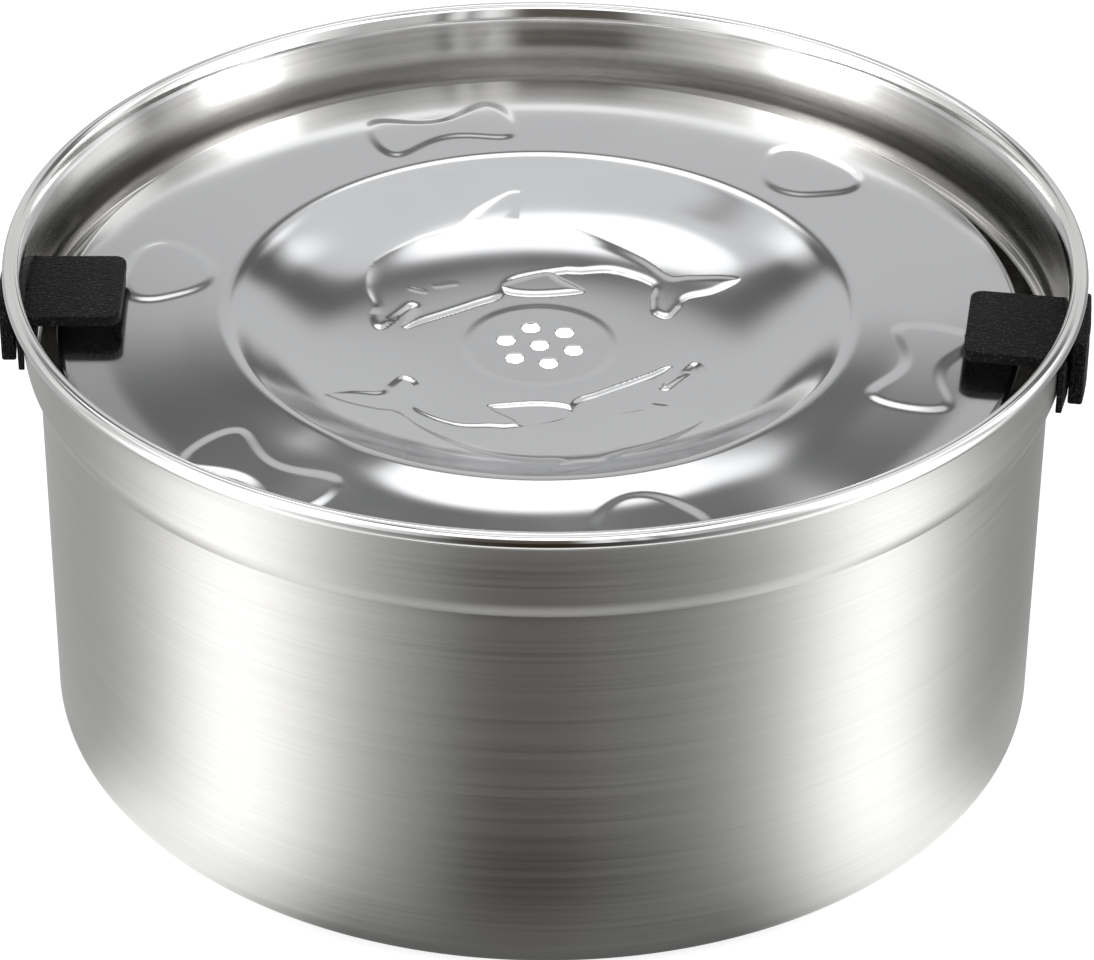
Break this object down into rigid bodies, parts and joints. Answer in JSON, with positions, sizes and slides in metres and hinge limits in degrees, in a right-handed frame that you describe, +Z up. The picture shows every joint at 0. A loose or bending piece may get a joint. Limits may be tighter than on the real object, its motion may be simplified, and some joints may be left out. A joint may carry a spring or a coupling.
{
  "type": "no-spill water bowl",
  "caption": "Round steel pet water bowl with a rolled rim, a hollow floating disc with a drinking dish and drain holes, and sliding latches that keep the disc in.",
  "frame": {"origin": "centre of the base, on the surface the bowl stands on", "axes": "+Z up through the rim, +X towards the right latch, -Y towards the front"},
  "size_m": [0.2524, 0.25, 0.1215],
  "materials": {
    "bowl_steel": "satin, brushed round the wall, polished on the rim",
    "disc_steel": "bright pressed sheet",
    "latch_plastic": "fine grain"
  },
  "bodies": {
    "bowl": {"bowl_shell": "bowl_steel", "right_latch_guide": "latch_plastic", "right_latch_retainer": "latch_plastic", "left_latch_guide": "latch_plastic", "left_latch_retainer": "latch_plastic"},
    "float": {"float_top": "disc_steel", "float_pan": "disc_steel"},
    "right_latch": {"right_latch_slider": "latch_plastic", "right_latch_tab": "latch_plastic"},
    "left_latch": {"left_latch_slider": "latch_plastic", "left_latch_tab": "latch_plastic"}
  },
  "joints": [
    {"name": "float_rise", "type": "slide", "parent": "bowl", "child": "float", "axis": [0, 0, 1], "range_m": [-0.0865, 0], "stiffness_N_per_m": 240, "springref_m": 0.015},
    {"name": "right_latch_slide", "type": "slide", "parent": "bowl", "child": "right_latch", "axis": [0.989, -0.1478, 0], "range_m": [0, 0.0165]},
    {"name": "left_latch_slide", "type": "slide", "parent": "bowl", "child": "left_latch", "axis": [-0.9998, -0.0175, 0], "range_m": [0, 0.0165]}
  ]
}
